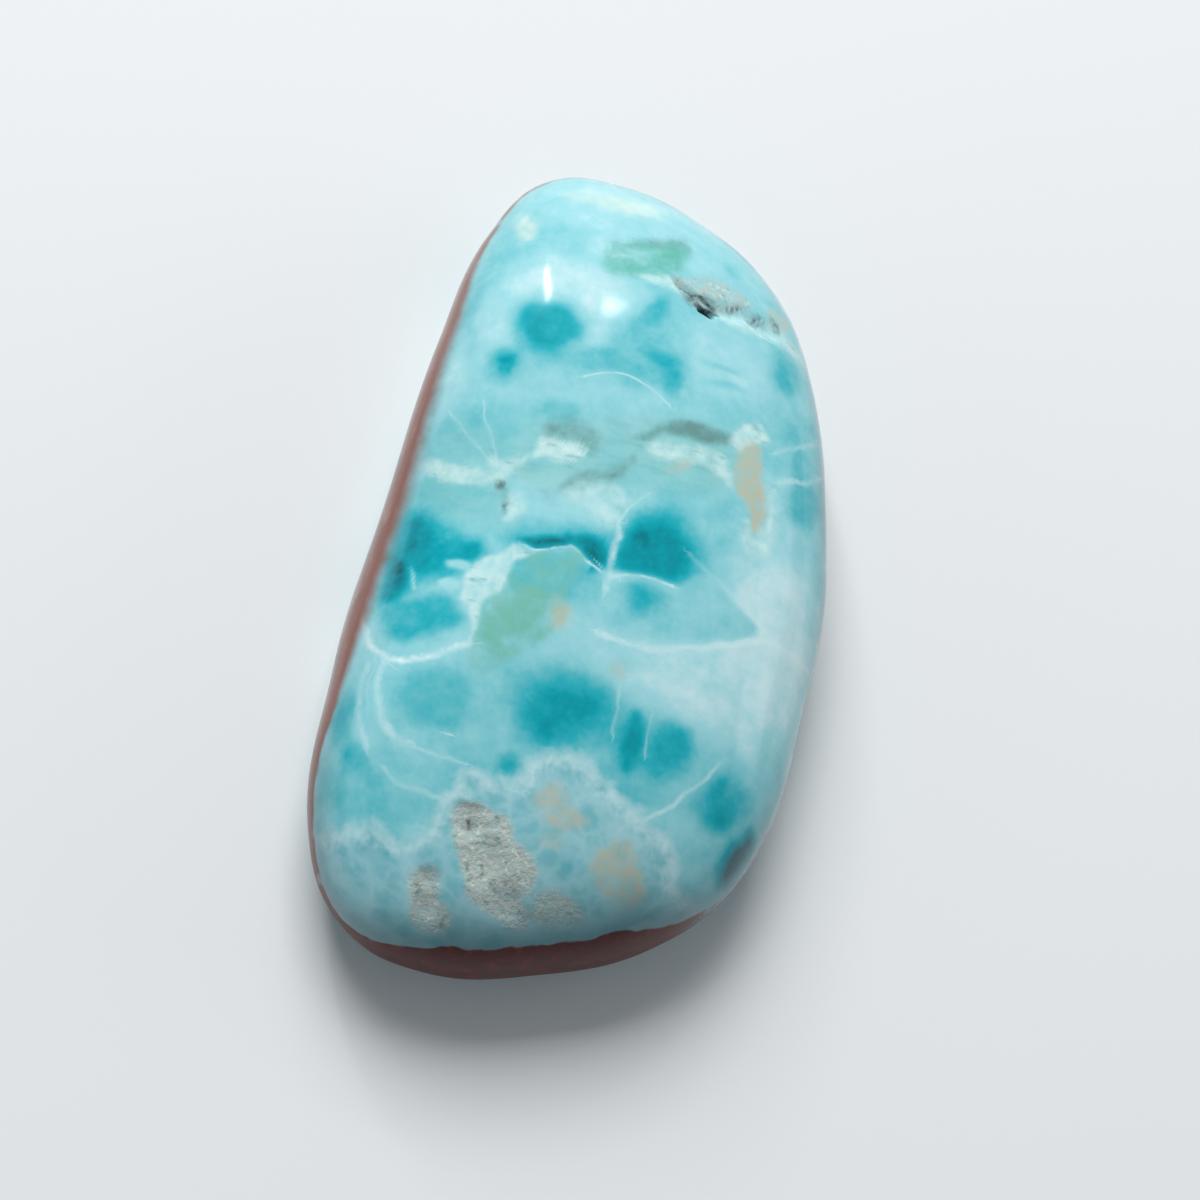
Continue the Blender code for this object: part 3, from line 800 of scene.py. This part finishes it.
def paintedVeins(plan):
    # distance to the nearest seam as a share of its half width, and that seam's strength
    nearest = np.full(len(plan), 40.0)
    strength = np.zeros(len(plan))
    for halfWidth, power, points in veins:
        away = distanceTo(plan, points, closed=False, reach=6 * halfWidth + 1) / halfWidth
        closer = np.abs(away) < np.abs(nearest)
        nearest[closer] = away[closer]
        # nothing far from the seam, where the nearest one changes
        strength[closer] = power * (np.abs(away[closer]) < 2.2 + 0.3 / halfWidth)
    return nearest, strength


def hollowDepth(plan):
    # millimetres below the polished form: each hollow is the cap of an ellipsoid
    depth = np.zeros(len(plan))
    for middle, length, width, deepest, turn in hollows:
        spread = math.sqrt(1 - (2 / 3) ** 2)
        radii = (length / 2 / spread, width / 2 / spread)
        inside = np.clip(1 - ovalDistance(plan, middle, radii, turn) ** 2, 0, 1)
        depth = np.maximum(depth, deepest * (3 * np.sqrt(inside) - 2))
    return depth


def storeField(mesh, name, values):
    layer = mesh.attributes.new(name, "FLOAT", "POINT")
    layer.data.foreach_set("value", np.ascontiguousarray(values, dtype=np.float32))


def paint(piece):
    mesh = piece.data
    corners = np.empty(len(mesh.vertices) * 3, np.float32)
    mesh.vertices.foreach_get("co", corners)
    corners = corners.reshape(-1, 3) / mm
    normals = np.empty(len(mesh.vertices) * 3, np.float32)
    mesh.vertex_normals.foreach_get("vector", normals)
    normals = normals.reshape(-1, 3)
    plan = corners[:, :2].astype(float)
    drawn = wandering(plan, markings["wander"])

    facing = normals @ np.array(pictureAxes(cameraSetup)[2])
    crown = soften(facing, 0.12, 0.40) * soften(normals[:, 2], 0.0, 0.15)
    storeField(mesh, "crown", crown)
    storeField(mesh, "blue", paintedBlue(drawn))
    nearest, strength = paintedVeins(drawn)
    storeField(mesh, "vein", nearest)
    storeField(mesh, "veinStrength", strength * crown)
    for name, patches in minerals.items():
        if name == "cloud":
            storeField(mesh, "cloudEdge", distanceTo(drawn, patches[0][2], reach=20.0))
        else:
            storeField(mesh, name, paintedMineral(drawn, patches) * soften(normals[:, 2], 0.0, 0.15))

    summitX, summitY = stoneForm["summit"]
    angle = np.degrees(np.arctan2(corners[:, 1] - summitY, corners[:, 0] - summitX))
    angles, heights, thickness, softness, lightness, dusk = np.array(girdleBand).T
    storeField(mesh, "bandDepth", np.interp(angle, angles, heights) - corners[:, 2])
    storeField(mesh, "bandThickness", np.interp(angle, angles, thickness))
    storeField(mesh, "bandSoftness", np.interp(angle, angles, softness))
    storeField(mesh, "bandLightness", np.interp(angle, angles, lightness))
    # painted shade: how much darker the stone is made above the band
    storeField(mesh, "dusk", np.interp(angle, angles, dusk))

    onTop = soften(normals[:, 2], 0.3, 0.5)
    storeField(mesh, "hollow", hollowDepth(drawn) * onTop)
    rough = paintedMineral(drawn, minerals["matrix"] + minerals["dark"][:1])
    storeField(mesh, "rough", rough * onTop)


paint(stone)
print("markings painted")


def reliefTree(material):
    sizes = {"Rough Height": 0.22 * mm, "Grain": 1.5, "Wall Grain": 0.3}
    graph, given = geometryTree("naturalRelief", sizes)
    place = graph.scaled(graph.node("GeometryNodeInputPosition"), 1 / mm)
    hollow = graph.node("GeometryNodeInputNamedAttribute", None, {"Name": "hollow"}, "Attribute")
    rough = graph.node("GeometryNodeInputNamedAttribute", None, {"Name": "rough"}, "Attribute")
    grainInputs = {"Vector": place, "Scale": given["Grain"], "Detail": 3.0, "Roughness": 0.6}
    grain = graph.node("ShaderNodeTexNoise", None, grainInputs) - 0.5
    pits = graph.node("ShaderNodeTexVoronoi", {"feature": "SMOOTH_F1"}, {"Vector": place, "Scale": 0.9}) - 0.4
    depth = hollow * mm * (1 - grain * given["Wall Grain"])
    depth = depth + rough * given["Rough Height"] * (grain * 1.6 + pits * 0.7 + 0.25)
    inward = graph.scaled(graph.node("GeometryNodeInputNormal"), 0 - depth)
    worn = graph.node("GeometryNodeSetPosition", None, {"Geometry": given["Geometry"], "Offset": inward})
    closeTree(graph, worn, material)
    return graph.tree, sizes


grown(stone, *reliefTree(larimar))
print("relief worn in")

# Colours of the larimar, as a screen shows them. The blues run with the painted blue from -0.1 to 1.2.
larimarFinish = {
    "blues": [
        (0.0, shade(216, 238, 240)),
        (0.12, shade(196, 230, 234)),
        (0.22, shade(162, 217, 224)),
        (0.34, shade(138, 207, 215)),
        (0.48, shade(98, 191, 201)),
        (0.62, shade(44, 176, 190)),
        (0.76, shade(0, 160, 174)),
        (0.88, shade(0, 140, 154)),
        (1.0, shade(0, 98, 108)),
    ],
    "mottle": ((5.0, 0.15), (1.7, 0.14), (0.5, 0.06)),  # size of each grain in mm, and its depth
    "cells": {"scale": 0.11, "stir": {"scale": 0.12, "reach": 7.0}},  # the unpainted sides
    "puffs": {"scale": 0.55, "stir": {"scale": 0.9, "reach": 1.6}},  # in the cloud
    "minerals": [  # in the order they are laid: colour, grain in millimetres, raggedness
        ("silk", shade(140, 200, 198), 1.4, 0.6),
        ("shade", shade(104, 150, 148), 1.2, 0.8),
        ("mint", shade(102, 184, 170), 1.2, 0.9),
        ("sage", shade(116, 186, 172), 1.3, 1.0),
        ("cloud", shade(156, 204, 214), 1.0, 0.5),
        ("cream", shade(214, 232, 222), 1.0, 0.9),
        ("tan", shade(186, 192, 172), 0.9, 1.2),
        ("matrix", shade(182, 194, 188), 0.7, 1.0),
        ("crust", shade(204, 234, 232), 1.1, 1.0),
        ("dark", shade(22, 44, 48), 0.4, 1.0),
    ],
    "cloudDark": shade(114, 182, 192),
    "fibre": shade(96, 158, 156),
    # pale crumbs with painted glints, and painted shade in the pits of the rough matrix
    "crumbGlint": shade(214, 228, 220),
    "pitShade": shade(120, 138, 126),
    # painted shade, laid on the stone above the girdle band
    "dusk": shade(78, 116, 126),
    "vein": shade(216, 242, 244),
    # colours of the girdle band, a painted reflection and shadow of reddish surroundings
    "maroon": shade(72, 0, 2),
    "bandRed": shade(106, 18, 10),
    "terracotta": shade(136, 78, 62),
    "ochre": shade(166, 128, 110),
    "umber": shade(84, 40, 38),
    "polish": 0.12,  # roughness
    "unpolished": 0.55,
    "bumpHeight": 0.12,  # millimetres
}


def larimarMaterial(material, finish):
    tree = material.node_tree
    tree.nodes.clear()
    graph = Graph(tree)
    place = graph.scaled(graph.node("ShaderNodeTexCoord", None, None, "Object"), 1 / mm)

    def field(name):
        return graph.node("ShaderNodeAttribute", {"attribute_name": name}, None, "Fac")

    def grain(size, detail=2.0, where=place):
        # noise from about -0.5 to 0.5
        inputs = {"Vector": where, "Scale": 1 / size, "Detail": detail, "Roughness": 0.55}
        return graph.node("ShaderNodeTexNoise", None, inputs) * 2 - 1

    def stirring(setup):
        # places moved by a noise of this scale, as far as its reach
        inputs = {"Vector": place, "Scale": setup["scale"], "Detail": 2.0}
        shift = graph.node("ShaderNodeTexNoise", None, inputs, "Color")
        return graph.vectors("ADD", place, graph.scaled(shift, setup["reach"]))

    # blue depth: painted on the crown, and cells of blue in a paler net where nothing was painted
    crown = field("crown")
    broad, middling, small = (grain(size) for size, depth in finish["mottle"])
    stirred = stirring(finish["cells"]["stir"])
    cellInputs = {"Vector": stirred, "Scale": finish["cells"]["scale"]}
    pools = {**cellInputs, "Smoothness": 0.25}
    cells = graph.node("ShaderNodeTexVoronoi", {"feature": "SMOOTH_F1"}, pools)
    wild = graph.fade(cells, 0.75, 0.05) * 0.85 + grain(11.0) * 0.35 + 0.05
    blue = wild + (field("blue") - wild) * crown
    depths = [depth for size, depth in finish["mottle"]]
    mottle = broad * depths[0] + middling * depths[1] + small * depths[2]
    blue = blue + mottle * (blue * 0.8 + 0.7)
    colour = graph.node("ShaderNodeValToRGB", {"stops": finish["blues"]}, {0: (blue + 0.1) / 1.3}, "Color")

    # the net between the cells
    net = graph.node("ShaderNodeTexVoronoi", {"feature": "DISTANCE_TO_EDGE"}, cellInputs)
    netShare = graph.fade(net + middling * 0.03, 0.07, 0.0) * (1 - crown) * 0.6
    colour = graph.blend(netShare, colour, finish["vein"])

    # seams
    away = graph.maths("ABSOLUTE", field("vein") + small * 0.8)
    seamShare = graph.fade(away, 1.9, 0.0) * field("veinStrength")
    seamShare = seamShare * (middling * 1.2 + small * 0.6 + 0.7)
    colour = graph.blend(seamShare, colour, finish["vein"])

    # silky fibres run aslant through the fractures
    combed = graph.node("ShaderNodeMapping", None, {
        "Vector": graph.vectors("ADD", place, graph.scaled(stirred, 0.15)),
        "Rotation": (0, 0, math.radians(-28)),
        "Scale": (0.26, 1.0, 0.4),
    })
    fibres = grain(1.0, 4.0, combed)

    def clouded(colour, tone, rubble):
        # a bank of soft puffs with paler rims
        edge = field("cloudEdge") + middling * 0.8 + small * 0.5
        inside = graph.fade(edge, 0.9, -0.9)
        border = graph.fade(graph.maths("ABSOLUTE", edge + 0.5), 1.2, 0.0)
        puffInputs = {"Vector": stirring(finish["puffs"]["stir"]), "Scale": finish["puffs"]["scale"]}
        puffs = graph.node("ShaderNodeTexVoronoi", {"feature": "SMOOTH_F1"}, puffInputs)
        rims = graph.node("ShaderNodeTexVoronoi", {"feature": "DISTANCE_TO_EDGE"}, puffInputs)
        rims = graph.fade(rims + rubble * 0.1, 0.25, 0.0)
        puffy = graph.fade(puffs + rubble * 0.35, 0.15, 0.8)
        mottled = graph.blend(puffy, finish["cloudDark"], tone)
        mottled = graph.blend(rims * 0.18, mottled, finish["vein"])
        colour = graph.blend(inside * crown * 0.7, colour, mottled)
        return graph.blend(border * crown * (rubble + 0.7) * 0.5, colour, finish["vein"])

    # other minerals
    for name, tone, size, ragged in finish["minerals"]:
        rubble = grain(size, 3.0)
        if name == "cloud":
            colour = clouded(colour, tone, rubble)
            continue
        share = field(name)
        share = share + rubble * ragged * share * (1.3 - share) * 2
        share = graph.maths("MINIMUM", graph.maths("MAXIMUM", share, 0), 1)
        if name == "silk":
            tone = graph.blend(graph.fade(fibres, -0.2, 0.7) * 0.8, tone, finish["fibre"])
        if name == "matrix":
            # pale crumbs with painted glints, and painted shade in the pits
            tone = graph.blend(graph.fade(grain(0.5, 3.0), 0.05, 0.45), tone, finish["crumbGlint"])
            tone = graph.blend(graph.fade(grain(0.8, 3.0), -0.1, -0.5), tone, finish["pitShade"])
        if name == "crust":
            tone = graph.blend(graph.fade(fibres + middling * 0.5, -0.05, -0.6), tone, finish["fibre"])
        colour = graph.blend(share, colour, tone)

    # painted shade: the stone darker towards the girdle band
    nearBand = graph.fade(field("bandDepth") + broad * 0.8, -4.2, 0.2)
    colour = graph.blend(nearBand * field("dusk"), colour, finish["dusk"])

    # painted reflection and shadow of reddish surroundings: a red-brown band round the girdle
    streakPlace = graph.node("ShaderNodeMapping", None, {"Vector": stirred, "Scale": (0.5, 0.5, 1.4)})
    streaks = grain(2.6, 4.0, streakPlace)
    depth = field("bandDepth") + middling * 0.35 + (1 - crown) * broad * 1.2
    thickness = field("bandThickness")
    bandShare = graph.fade(depth / field("bandSoftness"), -0.6, 0.6)
    bandShare = bandShare * graph.fade(depth - thickness + streaks * 2.4, 1.0, -1.2)
    # where it is thin it breaks up into patches
    patchy = graph.fade(grain(4.5, 3.0) + middling * 0.3, -0.25, 0.1)
    bandShare = bandShare * (1 - graph.fade(thickness, 5.0, 2.5) * (1 - patchy))
    bandTone = graph.blend(graph.fade(grain(0.9, 3.0), 0.0, 0.5), finish["maroon"], finish["bandRed"])
    bandTone = graph.blend(field("bandLightness"), bandTone, finish["terracotta"])
    under = graph.fade(depth + broad * 1.5, 1.0, 2.8)
    lighter = under * (field("bandLightness") * 0.6 + 0.06)
    bandTone = graph.blend(lighter * graph.fade(streaks, 0.0, 0.3), bandTone, finish["ochre"])
    bandTone = graph.blend(under * graph.fade(streaks, 0.0, -0.3) * 0.75, bandTone, finish["umber"])
    colour = graph.blend(bandShare, colour, bandTone)

    # unpolished in the matrix and the fissure, and rougher on the dark red band at the broad end
    bare = graph.maths("MINIMUM", field("matrix") + field("dark") * 0.6, 1)
    roughBand = bandShare * (1 - field("bandLightness")) * 0.8
    dull = graph.maths("MAXIMUM", bare, roughBand) * (finish["unpolished"] - finish["polish"])
    roughness = dull + finish["polish"] + small * 0.02
    height = grain(0.35, 3.0) * bare + fibres * field("silk") * 0.35
    bumpInputs = {"Height": height, "Distance": finish["bumpHeight"] * mm, "Strength": 0.6}
    bump = graph.node("ShaderNodeBump", None, bumpInputs, "Normal")
    surface = graph.node("ShaderNodeBsdfPrincipled", None, {
        "Base Color": colour,
        "Roughness": roughness,
        "Normal": bump,
        "IOR": 1.45,
    })
    leave = tree.nodes.new("ShaderNodeOutputMaterial")
    tree.links.new(surface.socket, leave.inputs["Surface"])


larimarMaterial(larimar, larimarFinish)
print("larimar finished")

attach(stone, "root")
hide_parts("stone")

# Soft studio: a pale floor, one big soft light from beyond the narrow end, dim cards that give the
# flanks their sheen, and two small strips for the highlights
studio = {
    "floorHalf": 1.5,  # metres
    "floorTone": shade(232, 234, 235),
    "sky": (shade(232, 240, 245), 0.26),
    "key": {"compass": 113, "height": 52, "away": 0.9, "size": (0.5, 0.5), "watts": 7.5},
    "cards": [
        {"compass": 20, "height": 22, "away": 0.5, "size": (0.35, 0.18), "watts": 0.22},
        {"compass": 200, "height": 22, "away": 0.5, "size": (0.35, 0.18), "watts": 0.12},
    ],
    "strips": [  # where each highlight lies on the stone, and which way the stone faces there
        {"spot": (-9.8, 21.2, 15.9), "facing": (-0.32, 0.18, 0.93), "size": (0.028, 0.080), "watts": 0.25},
        {"spot": (-4.0, 21.5, 16.3), "facing": (-0.02, 0.18, 0.98), "size": (0.026, 0.040), "watts": 0.07},
    ],
}


def makeFloor():
    half = studio["floorHalf"]
    mesh = bpy.data.meshes.new("studioFloor")
    corners = [(-half, -half, -2e-5), (half, -half, -2e-5), (half, half, -2e-5), (-half, half, -2e-5)]
    mesh.from_pydata(corners, [], [(0, 1, 2, 3)])
    floor = bpy.data.objects.new("studioFloor", mesh)
    bpy.context.scene.collection.objects.link(floor)
    material = bpy.data.materials.new("paleFloor")
    material.use_nodes = True
    surface = material.node_tree.nodes["Principled BSDF"]
    surface.inputs["Base Color"].default_value = studio["floorTone"]
    surface.inputs["Roughness"].default_value = 0.7
    mesh.materials.append(material)


def areaLight(name, place, target, size, watts):
    data = bpy.data.lights.new(name, "AREA")
    data.shape = "RECTANGLE"
    data.size, data.size_y = size
    data.energy = watts
    light = bpy.data.objects.new(name, data)
    turned = (place - target).to_track_quat("Z", "Y").to_matrix().to_4x4()
    light.matrix_world = Matrix.Translation(place) @ turned
    bpy.context.scene.collection.objects.link(light)
    return light


def aroundStone(name, setup):
    compass, height = math.radians(setup["compass"]), math.radians(setup["height"])
    level = math.cos(height)
    way = Vector((math.cos(compass) * level, math.sin(compass) * level, math.sin(height)))
    target = cameraSetup["aim"] * mm
    return areaLight(name, target + way * setup["away"], target, setup["size"], setup["watts"])


def stripLight(name, setup):
    # placed where the polish mirrors it to the camera from that spot
    spot = Vector(setup["spot"]) * mm
    facing = Vector(setup["facing"]).normalized()
    seen = (cameraPlace(cameraSetup) - spot).normalized()
    mirrored = facing * (2 * facing.dot(seen)) - seen
    return areaLight(name, spot + mirrored * 0.5, spot, setup["size"], setup["watts"])


makeFloor()
aroundStone("softKey", studio["key"]).visible_glossy = False
for number, card in enumerate(studio["cards"]):
    aroundStone(f"card{number}", card)
for number, strip in enumerate(studio["strips"]):
    stripLight(f"strip{number}", strip)
world = bpy.data.worlds.new("studioSky")
world.use_nodes = True
world.node_tree.nodes["Background"].inputs["Color"].default_value = studio["sky"][0]
world.node_tree.nodes["Background"].inputs["Strength"].default_value = studio["sky"][1]
bpy.context.scene.world = world
bpy.context.scene.view_settings.view_transform = "Standard"
print("studio lit")
